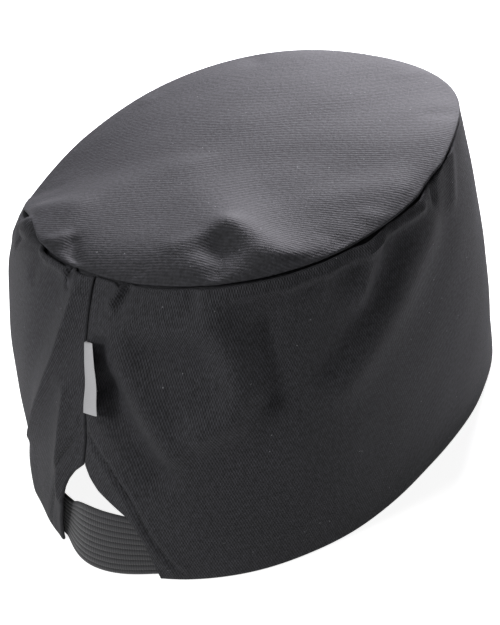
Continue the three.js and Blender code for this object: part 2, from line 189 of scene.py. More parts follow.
BAND_FOLDS = (
    Fold(((13, 0.9), (27, 0.89)), 0.6, 0.6),
    Fold(((16, 0.79), (27, 0.78)), 0.7, -0.5),
    Fold(((-4, 0.96), (-9, 0.73), (-15, 0.56), (-24, 0.32), (-30, 0.05)), 0.65, 0.55),
    Fold(((-12, 0.9), (-20, 0.62), (-30, 0.3)), 0.8, -0.4),
    Fold(((-5, 0.62), (-8, 0.36), (-9, 0.02)), 0.6, 0.6),
    Fold(((8, 0.86), (21, 0.5)), 0.7, 1.0),
    Fold(((6, 0.67), (17, 0.4)), 0.7, -1.1),
    Fold(((4, 0.6), (10, 0.5)), 0.7, 0.5),
    Fold(((32, 0.9), (36, 0.78), (37, 0.67), (34, 0.59), (28, 0.56)), 0.75, 1.25),
    Fold(((44, 0.86), (44, 0.62)), 0.5, -0.8, 1.6),
    Fold(((92, 0.88), (62, 0.6)), 1.1, 0.7),
    Fold(((73, 0.95), (68, 0.84)), 0.6, 0.6),
    Fold(((82, 0.93), (58, 0.66)), 0.7, -0.6),
    Fold(((-60, 0.8), (-75, 0.35)), 1.6, 0.7),
    Fold(((-115, 0.85), (-105, 0.45)), 1.8, -0.6),
    Fold(((150, 0.85), (165, 0.4)), 1.8, -0.6),
)

# Sharper creases and small puckers below the crown seam
BAND_CREASES = (
    Fold(((-4, 0.95), (-9, 0.73), (-15, 0.55), (-24, 0.32)), 0.24, 0.4, 1.2),
    Fold(((-5, 0.63), (-8, 0.38), (-9, 0.22)), 0.2, 0.3, 1.3),
    Fold(((-7, 1.0), (-7.5, 0.95)), 0.16, -0.8, 1.5),
    Fold(((-19, 0.985), (-9, 0.985)), 0.25, 0.45),
    Fold(((-21, 1.0), (-38, 0.93)), 0.28, -0.55, 1.5),
    Fold(((-19, 0.96), (-22, 0.9)), 0.35, -0.3),
    Fold(((9.3, 1.0), (6.5, 0.95)), 0.22, 0.7, 1.6),
    Fold(((11, 0.99), (9, 0.93)), 0.2, -0.35),
    Fold(((27, 0.99), (27.5, 0.95)), 0.3, -0.22),
    Fold(((30, 0.968), (44, 0.97), (92, 0.975)), 0.22, 0.5),
    Fold(((50, 0.96), (49, 0.92)), 0.35, 0.25),
    Fold(((60, 0.96), (59, 0.92)), 0.35, 0.22),
    Fold(((71, 0.97), (68, 0.86)), 0.35, 0.32, 1.6),
    Fold(((80, 0.99), (78, 0.95)), 0.3, -0.25),
    Fold(((99, 1.0), (98, 0.95)), 0.25, -0.45, 1.5),
    Fold(((112, 0.98), (108, 0.88)), 0.5, 0.3),
    Fold(((140, 0.99), (139, 0.94)), 0.35, -0.25),
    Fold(((172, 0.99), (173, 0.93)), 0.4, 0.25),
    Fold(((205, 0.99), (204, 0.94)), 0.35, -0.25),
    Fold(((240, 0.99), (243, 0.92)), 0.45, 0.28),
    Fold(((275, 0.99), (274, 0.94)), 0.35, -0.25),
    Fold(((300, 0.98), (304, 0.9)), 0.45, 0.3),
    Fold(((322, 0.99), (321, 0.94)), 0.35, -0.22),
)

CROWN_FOLDS = (
    Fold(((33.5, 0.81), (36.5, 0.84)), 0.8, -0.54),
    Fold(((33, 0.84), (33, 1.05)), 0.65, -0.32),
    Fold(((20, 0.8), (29, 0.73), (36, 0.67)), 0.55, 0.26),
    Fold(((44, 0.88), (48, 0.93)), 0.5, 0.2),
    Fold(((-25, 0.25), (20, 0.42), (37, 0.66)), 1.3, 0.22),
    Fold(((36, 0.66), (46, 0.82), (53, 0.98)), 0.75, 0.42),
    Fold(((75, 0.69), (92, 0.86)), 1.2, 0.22),
    Fold(((-40, 0.95), (-30, 0.8)), 0.9, 0.35),
)

CROWN_CREASES = (
    Fold(((33, 1.0), (34, 0.86)), 0.22, -0.16, 1.4),
    Fold(((-18, 0.99), (-16, 0.92)), 0.4, 0.35),
    Fold(((-13, 0.9), (-7, 0.985)), 0.28, -0.42, 1.4),
    Fold(((12, 0.99), (13, 0.93)), 0.35, -0.1),
    Fold(((66, 0.98), (64, 0.88)), 0.45, -0.1),
    Fold(((79, 0.98), (77, 0.9)), 0.4, 0.1),
    Fold(((130, 0.98), (131, 0.88)), 0.5, -0.12),
    Fold(((160, 0.98), (161, 0.9)), 0.5, 0.1),
    Fold(((215, 0.98), (214, 0.88)), 0.5, -0.12),
    Fold(((250, 0.98), (251, 0.88)), 0.5, 0.1),
    Fold(((300, 0.98), (303, 0.86)), 0.5, -0.12),
)

# Stitch line beside the gap: distances from the back seam as shares of its foot's
STITCH_TOP = 0.0616
STITCH_FOOT_RIGHT = 0.038
STITCH_FOOT_LEFT = 0.034
STITCH_COLUMNS = ("height", "right", "left")
STITCH_LINE = (
    (0.02, 0.97, 0.97),
    (0.15, 0.83, 0.84),
    (0.33, 0.67, 0.68),
    (0.56, 0.51, 0.50),
    (0.76, 0.30, 0.30),
    (0.92, 0.08, 0.08),
    (1.00, 0.01, 0.01),
)

# Ditch that the stitches draw into the cloth, and the puff beside it. They fade out near
# the rim and the back seam, and are shallower on the left
DITCH_DEPTH = 0.0007
DITCH_WIDTH = 0.0008
DITCH_FADE = 0.008
SEAM_FADE = 0.0012
PUFF_HEIGHT = 0.0004
PUFF_AWAY = 0.0024
PUFF_WIDTH = 0.0015
SEWN_SHARES = {"right": 1.0, "left": 0.6}
THREAD_FLATNESS = 0.8

# Lean of the back seam in degrees, at shares of the height
SEAM_LEAN = (
    (0.00, 0.00),
    (0.40, -0.50),
    (0.48, 0.35),
    (0.60, 0.80),
    (0.80, -0.10),
    (0.88, 0.10),
    (1.00, 0.75),
)
LEAN_REACH = 14

# Where the crown seam is drawn inwards and the band's shoulder rolls over to it: the
# middle, the half width in degrees and the depth
Pull = namedtuple("Pull", "angle spread depth")
SEAM_PULLS = (
    Pull(-36, 13, 0.0042),
    Pull(99, 5, 0.0010),
)
PULL_POWER = 3

# Camera, as the photograph was taken
CAMERA_AZIMUTH = 225.467
CAMERA_ELEVATION = 34.068
CAMERA_ROLL = -12.226
CAMERA_DISTANCE = 0.900
CAMERA_TARGET = (-0.0040, 0.0022, 0.0513)
CAMERA_LENS = 136.42

# Soft studio lights round the cap, and the floor and room that glow around it
SoftBox = namedtuple("SoftBox", "name azimuth elevation distance size power colour")
LIGHTS = (
    SoftBox("far_soft_box", 22, 27, 0.8, 0.28, 14.0, (1.0, 0.97, 1.05)),
    SoftBox("top_soft_box", 148, 70, 1.2, 0.5, 4.5, (1.0, 1.0, 1.0)),
    SoftBox("left_soft_box", 160, 34, 1.2, 0.35, 6.5, (1.0, 1.0, 1.0)),
)
FLOOR_SIZE = 8
FLOOR_GAP = 0.0002
FLOOR_GLOW = 0.9
FLOOR_FILL = 0.50
ROOM_LIGHT = 0.08


def length_property(name, description, default, least=0.0):
    """A length that the sidebar shows in the scene's unit."""
    return bpy.props.FloatProperty(
        name=name, description=description, default=default, min=least,
        subtype="DISTANCE", unit="LENGTH", precision=5)


def colour_property(name, description, default):
    """A colour with its swatch in the sidebar."""
    return bpy.props.FloatVectorProperty(
        name=name, description=description, default=default, min=0, max=1, subtype="COLOR")


class CapSizes(bpy.types.PropertyGroup):
    """Sizes of the cloth, seams, strap, label and stitches."""

    cloth_thickness: length_property(
        "Cloth thickness", "Thickness of one layer of cloth", 0.0005, least=0.0001)
    edge_roll: length_property(
        "Edge roll", "Radius of the fold at the rim and round the gap", 0.0008)
    seam_roll: length_property("Seam roll", "Radius of the band's fold at the crown seam", 0.0006)
    crown_roll: length_property("Crown roll", "Radius of the crown's fold at its seam", 0.0005)
    hem_depth: length_property("Hem depth", "How far the cloth is turned in at its edges", 0.0095)
    fold_width: length_property("Fold width", "Half width of a fold of share 1", 0.009)
    band_fold: length_property("Band folds", "Lift of a fold of share 1 on the band", 0.0036)
    crown_fold: length_property("Crown folds", "Lift of a fold of share 1 on the crown", 0.0035)
    ripple: length_property("Ripple", "Depth of the faint ripple all over the cloth", 0.00015)
    twill_pitch: length_property("Twill pitch", "Distance from one twill rib to the next", 0.00085)
    stitch_length: length_property("Stitch length", "Length of one stitch", 0.0024)
    stitch_gap: length_property("Stitch gap", "Gap between two stitches", 0.0008)
    thread_thickness: length_property("Thread thickness", "Thickness of the sewing thread", 0.0006)
    strap_ribs: bpy.props.IntProperty(
        name="Strap ribs", description="Ribs across the elastic strap", default=11, min=2)
    strap_thickness: length_property("Strap thickness", "Thickness of the strap at a rib", 0.0015)
    label_length: length_property(
        "Label length", "Length of the label along the back seam", 0.0247)
    label_width: length_property("Label width", "How far the label stands out of the seam", 0.010)


class CapColours(bpy.types.PropertyGroup):
    """Colours of the cloth, strap, label, thread and floor."""

    cloth: colour_property("Cloth", "Colour of the twill", (0.021, 0.021, 0.0245))
    elastic: colour_property("Elastic", "Colour of the strap", (0.030, 0.030, 0.033))
    label: colour_property("Label", "Colour of the label's tape", (0.37, 0.37, 0.38))
    thread: colour_property("Thread", "Colour of the sewing thread", (0.008, 0.008, 0.009))
    floor: colour_property("Floor", "Colour of the floor", (0.60, 0.60, 0.60))


# Small helpers

def unit(vectors):
    """Vectors of length one."""
    return vectors / np.linalg.norm(vectors, axis=-1, keepdims=True)


def smoothstep(value, low, high):
    """0 below low, 1 above high and smooth in between."""
    t = np.clip((value - low) / (high - low), 0, 1)
    return t * t * (3 - 2 * t)


def column(table, names, name):
    """One named column of a table."""
    return np.array([row[names.index(name)] for row in table])


def gathered(share, gather):
    """Shares from 0 to 1 that gather towards both ends."""
    return share - gather * np.sin(2 * np.pi * share) / (2 * np.pi)


# The plain shape

def round_share(name, angle):
    """One column of ROUND at each angle, on a smooth closed curve."""
    rows = column(ROUND, ROUND_COLUMNS, name)
    place = np.asarray(angle) / 360 * len(rows)
    before = np.floor(place).astype(int)
    u = place - before
    a, b, c, d = (rows[(before + step) % len(rows)] for step in (-1, 0, 1, 2))
    slope = (c - a) / 2
    next_slope = (d - b) / 2
    bend = 3 * (c - b) - 2 * slope - next_slope
    twist = 2 * (b - c) + slope + next_slope
    return b + u * (slope + u * (bend + u * twist))


def outward(angle):
    """The level direction out of the cap at each angle."""
    turn = np.radians(angle)
    return np.stack((-np.sin(turn), np.cos(turn), 0 * turn), -1)


def oval_radius(angle, length, width):
    """Radius of an oval that is a little squarer than an ellipse."""
    turn = np.radians(angle)
    along = np.abs(np.cos(turn) / (length / 2)) ** OVAL_POWER
    across = np.abs(np.sin(turn) / (width / 2)) ** OVAL_POWER
    return (along + across) ** (-1 / OVAL_POWER)


def rim_point(angle):
    """A place on the rim."""
    radius = oval_radius(angle, RIM_LENGTH, RIM_WIDTH) * round_share("rim", angle)
    return RIM_MIDDLE + outward(angle) * radius[..., None]


def crown_middle():
    """The middle of the crown seam's oval."""
    return RIM_MIDDLE + np.array((-CROWN_ASIDE, -CROWN_FORWARD, HEIGHT))


def seam_point(angle):
    """A place on the crown seam, on the band's face."""
    radius = oval_radius(angle, CROWN_LENGTH, CROWN_WIDTH) * round_share("seam", angle)
    point = crown_middle() + outward(angle) * radius[..., None]
    point[..., 2] = HEIGHT * round_share("height", angle)
    return point


def seam_pull(angle):
    """How far the crown seam is drawn in from the band's face at each angle."""
    depth = 0.0
    for pull in SEAM_PULLS:
        away = np.abs(wrapped(angle - pull.angle) / pull.spread)
        depth = depth + pull.depth * np.exp(-away ** PULL_POWER)
    return depth


def crown_edge(angle):
    """The crown's outline, where its edge is sewn."""
    return seam_point(angle) - outward(angle) * seam_pull(angle)[..., None]


def smooth_wall(angle, height):
    """A place on the band's outer face without its folds."""
    swell = np.sin(np.pi * np.clip(height, 0, 1)) ** BULGE_POWER
    bulge = WALL_BULGE * round_share("bulge", angle) * swell
    rim, seam = rim_point(angle), seam_point(angle)
    return rim + (seam - rim) * height[..., None] + outward(angle) * bulge[..., None]


def line_distance(place, points):
    """Distance from each place to a line through points, on the flat cloth."""
    nearest = np.full(place.shape[:-1], np.inf)
    for start, end in zip(points[:-1], points[1:]):
        run = end - start
        along = np.clip((place - start) @ run / (run @ run), 0, 1)
        away = place - start - along[..., None] * run
        nearest = np.minimum(nearest, np.linalg.norm(away, axis=-1))
    return nearest


def fold_lift(place, line, fold, width):
    """How much of its lift a fold gives to each place, from the distance to its line."""
    distance = line_distance(place, line)
    return fold.lift * np.exp(-((distance / (fold.width * width)) ** fold.sharpness))


def ripple(place, depth):
    """A faint uneven ripple, as cloth that has been worn and washed keeps."""
    lift = np.zeros(place.shape[:-1])
    for number in range(1, RIPPLE_WAVES + 1):
        turn = RIPPLE_TURN * number
        way = np.array((math.cos(turn), math.sin(turn)))
        length = RIPPLE_LENGTH + RIPPLE_STEP * number
        lift += np.sin(2 * np.pi * (place @ way) / length + number * number)
    return depth * lift / RIPPLE_SUM


def arc_per_degree():
    """Length of cloth along the rim for one degree."""
    return math.radians(1) * (RIM_LENGTH + RIM_WIDTH) / 4


def wrapped(angle):
    """The same angle between -180 and 180."""
    return (angle + 180) % 360 - 180


def band_lift(sizes, angle, height):
    """How far the band's folds, creases and stitch ditch move the cloth outwards."""
    per_degree = arc_per_degree()
    lift = np.zeros(np.broadcast(angle, height).shape)
    for fold in BAND_FOLDS + BAND_CREASES:
        first = fold.line[0][0]
        place = np.stack((wrapped(angle - first) * per_degree, height * HEIGHT), -1)
        line = [
            np.array(((turn - first) * per_degree, share * HEIGHT))
            for turn, share in fold.line
        ]
        lift += fold_lift(place, line, fold, sizes.fold_width)
    lift *= sizes.band_fold
    flat = np.stack((wrapped(angle) * per_degree, height * HEIGHT), -1)
    lift += ripple(flat, sizes.ripple)
    above_rim = smoothstep(height * HEIGHT, 0, DITCH_FADE)
    off_seam = smoothstep(np.abs(flat[..., 0]), SEAM_FADE, 3 * SEAM_FADE)
    for side, share in SEWN_SHARES.items():
        distance = line_distance(flat, stitch_points(side))
        sewn = PUFF_HEIGHT * np.exp(-(((distance - PUFF_AWAY) / PUFF_WIDTH) ** 2))
        sewn -= DITCH_DEPTH * np.exp(-((distance / DITCH_WIDTH) ** 2))
        lift += share * sewn * above_rim * off_seam
    return lift


def seam_lean(angle, height):
    """How far the cloth beside the back seam is turned, as the seam isn't quite upright."""
    heights, leans = zip(*SEAM_LEAN)
    return np.interp(height, heights, leans) * np.exp(-(wrapped(angle) / LEAN_REACH) ** 2)


def wall(sizes, angle, height):
    """A place on the band's outer face."""
    angle = angle + seam_lean(angle, height)
    lift = band_lift(sizes, angle, height)
    return smooth_wall(angle, height) + outward(angle) * lift[..., None]


def crown_place(angle, radius):
    """A place on the crown, seen from above and measured from its middle."""
    reach = oval_radius(angle, CROWN_LENGTH, CROWN_WIDTH) * radius
    return (outward(angle) * np.asarray(reach)[..., None])[..., :2]


def crown_lift(sizes, angle, radius):
    """How far the crown's folds and creases lift the cloth."""
    place = crown_place(angle, radius)
    to_edge = (1 - radius) * CROWN_WIDTH / 2
    total = ripple(place, sizes.ripple) * smoothstep(to_edge, 0, FOLD_FADE)
    for folds, fade in ((CROWN_FOLDS, FOLD_FADE), (CROWN_CREASES, CREASE_FADE)):
        lift = np.zeros(place.shape[:-1])
        for fold in folds:
            line = [crown_place(np.float64(turn), share) for turn, share in fold.line]
            lift += fold_lift(place, line, fold, sizes.fold_width)
        total += sizes.crown_fold * lift * smoothstep(to_edge, 0, fade)
    return total


def crown_top(sizes, angle, radius):
    """A place on the crown's outer face, up to its rolled edge."""
    edge, middle = crown_edge(angle), crown_middle()
    point = middle + (edge - middle) * radius[..., None]
    rise = CROWN_RISE * (1 + (round_share("rise", angle) - 1) * radius ** 2)
    point[..., 2] = middle[2] + (edge[..., 2] - middle[2]) * radius ** TILT_POWER
    point[..., 2] += SEAM_GAP + 2 * sizes.crown_roll
    power = RISE_POWER * round_share("plateau", angle)
    point[..., 2] += rise * (1 - radius ** power) + crown_lift(sizes, angle, radius)
    return point


def arch_half_width(side, z):
    """Distance from the back seam to one edge of the gap at each height."""
    widths = {"right": ARCH_RIGHT, "left": ARCH_LEFT}
    heights = column(ARCH, ARCH_COLUMNS, "height")
    shares = column(ARCH, ARCH_COLUMNS, side)
    return widths[side] * np.interp(z / ARCH_HEIGHT, heights, shares)


def angle_across(distance, height):
    """The angle at a distance from the back seam, measured straight across."""
    back = np.zeros_like(height)
    rim = oval_radius(back, RIM_LENGTH, RIM_WIDTH)
    crown = oval_radius(back, CROWN_LENGTH, CROWN_WIDTH)
    radius = rim + (crown - rim) * height
    return np.degrees(np.arcsin(distance / radius))


def stitch_points(side):
    """The stitch line beside the gap, as places on the flat cloth."""
    foot, way = {"right": (STITCH_FOOT_RIGHT, 1), "left": (STITCH_FOOT_LEFT, -1)}[side]
    height = column(STITCH_LINE, STITCH_COLUMNS, "height") * STITCH_TOP
    across = column(STITCH_LINE, STITCH_COLUMNS, side) * foot * way
    degrees = across / math.radians(1) / (RIM_LENGTH / 2)
    return np.stack((degrees * arc_per_degree(), height), -1)


# Sheets of cloth

def surface_frame(surface, angle, height):
    """Point, change per degree, change per share and outward normal of a surface."""
    point = surface(angle, height)
    per_degree = (surface(angle + ANGLE_STEP, height) - point) / ANGLE_STEP
    per_share = (surface(angle, height + SHARE_STEP) - point) / SHARE_STEP
    return point, per_degree, per_share, unit(np.cross(per_degree, per_share))


def edge_ways(points, upward, normals):
    """At each edge point of a grid, the way off the sheet; at a corner, both ways together.
    The sides are left square to the edge, the foot and the top straight down and up."""
    ways = np.zeros_like(points)
    for edge, inner in ((0, 1), (-1, -2)):
        along = unit(np.gradient(points[edge], axis=0))
        off = points[edge] - points[inner]
        for direction in (along, normals[edge]):
            off = off - direction * np.sum(off * direction, -1, keepdims=True)
        ways[edge] += unit(off)
    ways[:, 0] -= unit(upward[:, 0])
    ways[:, -1] += unit(upward[:, -1])
    return ways


def corner_pushes(points, ways, depth):
    """How the hems near a corner are drawn in sideways, so that they meet on a mitre."""
    pushes = np.zeros_like(points)
    upright = (points, pushes, ways)
    level = tuple(np.swapaxes(grid, 0, 1) for grid in upright)
    for place, push, way in (upright, level):
        middle = place.shape[1] // 2
        for side in (0, -1):
            for line in (0, -1):
                edge = place[:, line]
                run = np.linalg.norm(edge - edge[side], axis=-1)
                share = np.clip(1 - run / (2 * depth), 0, 1) ** 2
                share[side] = 0
                push[:, line] += share[:, None] * way[side, middle]
    return pushes


def hem_lines(count):
    """The lines of a hemmed sheet: the open sheet's line that each belongs to, and how many
    rings it lies beyond that one, below 0 before the first and above 0 after the last."""
    rings = ROLL_STEPS + HEM_STEPS
    lines = np.arange(-rings, count + rings)
    inside = np.clip(lines, 0, count - 1)
    return inside, lines - inside


def hemmed_points(surface, angle, height, rolls, depth):
    """A sheet's points, with its four edges rolled over and turned in. Each edge gets
    ROLL_STEPS rings of points for the roll and HEM_STEPS for the hem behind it."""
    point, per_degree, per_share, normal = surface_frame(surface, angle, height)
    ways = edge_ways(point, per_share, normal)
    pushes = corner_pushes(point, ways, depth)
    (columns, past_columns), (rows, past_rows) = (hem_lines(count) for count in angle.shape)
    at = np.ix_(columns, rows)
    ring = np.maximum(np.abs(past_columns)[:, None], np.abs(past_rows)[None, :])
    roll = rolls[at][..., None]
    turn = np.pi * np.clip(ring / ROLL_STEPS, 0, 1)[..., None]
    rolled = point[at] - roll * normal[at]
    rolled += roll * (np.cos(turn) * normal[at] + np.sin(turn) * ways[at])

    hem = depth * np.clip((ring - ROLL_STEPS) / HEM_STEPS, 0, 1)[..., None]
    shift = -hem * (ways[at] + pushes[at])
    degrees = np.sum(shift * per_degree[at], -1) / np.sum(per_degree[at] ** 2, -1)
    shares = np.sum(shift * per_share[at], -1) / np.sum(per_share[at] ** 2, -1)
    behind = surface_frame(surface, angle[at] + degrees, height[at] + shares)
    turned_in = behind[0] - 2 * roll * behind[3]
    return np.where(ring[..., None] > ROLL_STEPS, turned_in, rolled), at


def deselect():
    """Leaves edit mode and selects nothing."""
    if bpy.context.object and bpy.context.object.mode != "OBJECT":
        bpy.ops.object.mode_set(mode="OBJECT")
    bpy.ops.object.select_all(action="DESELECT")


def pick(piece):
    """Makes one piece the only selected and the active one."""
    deselect()
    piece.select_set(True)
    bpy.context.view_layer.objects.active = piece


def shaped_grid(name, points, flat):
    """A grid whose vertices lie at points[column, row], with the flat cloth's own
    coordinates in its UV map."""
    deselect()
    columns, rows = points.shape[:2]
    bpy.ops.mesh.primitive_grid_add(x_subdivisions=columns - 1, y_subdivisions=rows - 1, size=1)
    piece = bpy.context.object
    piece.name = name
    piece.data.name = name
    places = points.transpose(1, 0, 2).reshape(-1, 3)
    piece.data.vertices.foreach_set("co", places.astype(np.float32).ravel())
    corner = np.empty(len(piece.data.loops), int)
    piece.data.loops.foreach_get("vertex_index", corner)
    pattern = flat.transpose(1, 0, 2).reshape(-1, 2)[corner]
    piece.data.uv_layers.active.data.foreach_set("uv", pattern.astype(np.float32).ravel())
    piece.data.update()
    return piece


def merge_doubles(piece):
    """Closes a mesh where its edges lie on each other."""
    pick(piece)
    bpy.ops.object.mode_set(mode="EDIT")
    bpy.ops.mesh.select_all(action="SELECT")
    bpy.ops.mesh.remove_doubles(threshold=TINY)
    bpy.ops.object.mode_set(mode="OBJECT")


def thicken(piece, thickness):
    """Gives a sheet its thickness behind its outer face."""
    pick(piece)
    bpy.ops.object.modifier_add(type="SOLIDIFY")
    solidify = piece.modifiers[-1]
    solidify.thickness = thickness
    solidify.offset = -1
    bpy.ops.object.modifier_apply(modifier=solidify.name)


def shade(piece):
    """Shades a piece smooth, apart from its sharp edges."""
    pick(piece)
    bpy.ops.object.shade_smooth_by_angle(angle=math.radians(SMOOTH_ANGLE))


def dress(piece, material, slot, *nodes):
    """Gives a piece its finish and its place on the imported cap."""
    piece.data.materials.clear()
    piece.data.materials.append(material)
    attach(piece, BODY)
    if nodes:
        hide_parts(*nodes)


# Finishes

def blank_material(name):
    """A material with only its shader, and its node tree."""
    material = bpy.data.materials.new(name)
    material.use_nodes = True
    tree = material.node_tree
    shader = next(node for node in tree.nodes if node.type == "BSDF_PRINCIPLED")
    return material, tree, shader


def feed(tree, socket, value):
    """Fills an input with another node's output, a number, a vector or a colour."""
    if isinstance(value, bpy.types.NodeSocket):
        tree.links.new(value, socket)
    else:
        socket.default_value = (*value, 1) if socket.type == "RGBA" else value


def fill(tree, node, inputs):
    """Feeds some of a node's inputs, by their names or numbers."""
    for name, value in inputs.items():
        feed(tree, node.inputs[name], value)
    return node


def new_node(tree, kind, inputs):
    """A new node of a kind, with some of its inputs filled."""
    return fill(tree, tree.nodes.new("ShaderNode" + kind), inputs)


def math_node(tree, operation, first, second):
    """A math node fed by two sockets or numbers."""
    node = new_node(tree, "Math", {0: first, 1: second})
    node.operation = operation
    return node.outputs[0]


def mix_colours(tree, factor, low, high, blend="MIX"):
    """A colour between two others, or at factor 1 the two blended."""
    mix = new_node(tree, "Mix", {"Factor": factor})
    mix.data_type = "RGBA"
    mix.blend_type = blend
    sockets = [socket for socket in mix.inputs if socket.type == "RGBA"]
    feed(tree, sockets[0], low)
    feed(tree, sockets[1], high)
    return next(socket for socket in mix.outputs if socket.type == "RGBA")


def grey(tone):
    """A grey, or a white at 1 and above."""
    return (tone, tone, tone)


def stretched(tree, value, low, high):
    """A value stretched from low..high to 0..1."""
    node = new_node(tree, "MapRange", {"From Min": low, "From Max": high, "Value": value})
    return node.outputs["Result"]


def scaled(colour, factor):
    """A darker or a lighter shade of a colour."""
    return tuple(min(channel * factor, 1) for channel in colour)


def wave(tree, vector, pitch, distortion=0.0, detail=1.0, detail_scale=0.6):
    """Even ribs across the X of a vector, one every pitch."""
    node = new_node(tree, "TexWave", {
        "Scale": math.pi / (10 * pitch), "Distortion": distortion, "Detail": detail,
        "Detail Scale": detail_scale, "Vector": vector})
    node.wave_type = "BANDS"
    node.bands_direction = "X"
    return node.outputs["Fac"]


def noise(tree, vector, size, detail=2.0, roughness=0.5):
    """Soft noise whose spots are about size across."""
    node = new_node(tree, "TexNoise", {
        "Scale": 1 / size, "Detail": detail, "Roughness": roughness, "Vector": vector})
    return node.outputs["Fac"]


def turned(tree, vector, angle):
    """A vector turned about Z, in degrees."""
    turn = (0, 0, math.radians(angle))
    return new_node(tree, "Mapping", {"Rotation": turn, "Vector": vector}).outputs["Vector"]


def bump(tree, height, depth, before=None):
    """A bump of a real depth, on top of another one."""
    node = new_node(tree, "Bump", {"Strength": 1, "Distance": depth, "Height": height})
    if before is not None:
        feed(tree, node.inputs["Normal"], before)
    return node.outputs["Normal"]


def lint_specks(tree, flat):
    """1 on a few scattered specks and 0 elsewhere."""
    cells = new_node(tree, "TexVoronoi", {"Scale": 1 / LINT_SPACING, "Vector": flat})
    speck = math_node(tree, "LESS_THAN", cells.outputs["Distance"], LINT_SHARE)
    chance = new_node(tree, "SeparateColor", {"Color": cells.outputs["Color"]})
    rare = math_node(tree, "GREATER_THAN", chance.outputs[0], LINT_RARITY)
    return math_node(tree, "MULTIPLY", speck, rare)


def twill_material(name, pitch, colour, rib_angle, thread_angle, threads_share, relief):
    """Matt black twill: slanting ribs with painted highlight on them and painted shade between
    them, crossing threads, faint blotches and a little lint.
    """
    material, tree, shader = blank_material(name)
    flat = tree.nodes.new("ShaderNodeUVMap").outputs["UV"]
    along = turned(tree, flat, rib_angle)
    ribs = wave(tree, along, pitch, distortion=1.2, detail=2.0)
    across = turned(tree, flat, thread_angle)
    threads = wave(tree, across, THREAD_PITCH * pitch, distortion=1.0, detail=2.0)
    ribs = math_node(tree, "MULTIPLY", ribs, 1 - threads_share)
    threads = math_node(tree, "MULTIPLY", threads, threads_share)
    weave = math_node(tree, "ADD", ribs, threads)
    blotches = noise(tree, flat, size=0.030, detail=3.0)
    fibres = noise(tree, flat, size=0.0016, roughness=0.7)
    fibres = stretched(tree, fibres, low=0.3, high=0.7)

    # Painted highlight and painted shade: the colour is lighter on the twill's ribs and darker in
    # the grooves between them, following the same ribs that the bump raises.
    painted_groove_shade, light = scaled(colour, 1 - 2 * relief), scaled(colour, 1 + 2 * relief)
    woven = mix_colours(tree, weave, painted_groove_shade, light)
    fuzz = mix_colours(tree, fibres, grey(0.55), grey(1.45))
    wear = mix_colours(tree, blotches, grey(0.75), grey(1.25))
    cloth = mix_colours(tree, 1.0, woven, fuzz, blend="MULTIPLY")
    cloth = mix_colours(tree, 1.0, cloth, wear, blend="MULTIPLY")
    soft = bump(tree, fibres, FIBRE_DEPTH)
    fill(tree, shader, {
        "Base Color": mix_colours(tree, lint_specks(tree, flat), cloth, LINT_COLOUR),
        "Normal": bump(tree, weave, 4 * relief * TWILL_DEPTH, soft),
        "Roughness": 0.74,
        "Specular IOR Level": 0.3,
    })
    return material


def elastic_material(name, sizes, colour):
    """Braided elastic: fine cross threads on raised ribs, with painted shade that darkens the
    hollows between the ribs.
    """
    material, tree, shader = blank_material(name)
    flat = tree.nodes.new("ShaderNodeUVMap").outputs["UV"]
    threads = wave(tree, flat, pitch=0.0008, distortion=0.8, detail=2.0)
    fibres = noise(tree, flat, size=0.0006, roughness=0.6)
    level = turned(tree, flat, -90)
    # Painted shade: bands at the pitch of the strap's ribs darken the colour in the hollows
    # between the ribs.
    groove_shade_bands = wave(tree, level, STRAP_WIDTH / sizes.strap_ribs)
    fine = math_node(tree, "MULTIPLY", threads, 0.2)
    broad = math_node(tree, "MULTIPLY", groove_shade_bands, 0.8)
    tone = math_node(tree, "ADD", fine, broad)
    yarn_with_painted_groove_shade = mix_colours(tree, tone, scaled(colour, 0.2), scaled(colour, 1.5))
    rough = bump(tree, fibres, FIBRE_DEPTH)
    fill(tree, shader, {
        "Base Color": mix_colours(tree, fibres, yarn_with_painted_groove_shade, colour),
        "Normal": bump(tree, threads, FIBRE_DEPTH, rough),
        "Roughness": 0.78,
        "Specular IOR Level": 0.4,
        "Sheen Weight": 0.25,
    })
    return material


def tape_material(name, colour):
    """Pale woven label tape: a close weave in both directions."""
    material, tree, shader = blank_material(name)
    flat = tree.nodes.new("ShaderNodeUVMap").outputs["UV"]
    warp = wave(tree, flat, pitch=0.00045)
    weft = wave(tree, turned(tree, flat, 90), pitch=0.00055)
    weave = math_node(tree, "MULTIPLY", warp, weft)
    dirt = noise(tree, flat, size=0.004, detail=3.0)
    thread = mix_colours(tree, weave, scaled(colour, 0.86), scaled(colour, 1.08))
    fill(tree, shader, {
        "Base Color": mix_colours(tree, dirt, thread, colour),
        "Normal": bump(tree, weave, depth=0.00006),
        "Roughness": 0.55,
        "Specular IOR Level": 0.4,
        "Sheen Weight": 0.1,
    })
    return material


def thread_material(name, colour):
    """Twisted sewing thread, a little glossier than the cloth."""
    material, tree, shader = blank_material(name)
    place = tree.nodes.new("ShaderNodeTexCoord").outputs["Object"]
    twist = wave(tree, turned(tree, place, 45), pitch=0.0005)
    fill(tree, shader, {
        "Base Color": mix_colours(tree, twist, scaled(colour, 0.6), scaled(colour, 1.5)),
        "Normal": bump(tree, twist, FIBRE_DEPTH),
        "Roughness": 0.6,
        "Specular IOR Level": 0.45,
    })
    return material


def floor_material(name, colour):
    """A pale floor that is lit from below like a light table, with a faint grain."""
    material, tree, shader = blank_material(name)
    place = tree.nodes.new("ShaderNodeTexCoord").outputs["Object"]
    grain = noise(tree, place, size=0.02, detail=4.0)
    seen = tree.nodes.new("ShaderNodeLightPath").outputs["Is Camera Ray"]
    shown = math_node(tree, "MULTIPLY", seen, FLOOR_GLOW)
    fill(tree, shader, {
        "Base Color": mix_colours(tree, grain, scaled(colour, 0.97), scaled(colour, 1.03)),
        "Roughness": 0.9,
        "Specular IOR Level": 0.1,
        "Emission Color": grey(1.0),
        "Emission Strength": math_node(tree, "MAXIMUM", shown, FLOOR_FILL),
    })
    return material


# Pieces

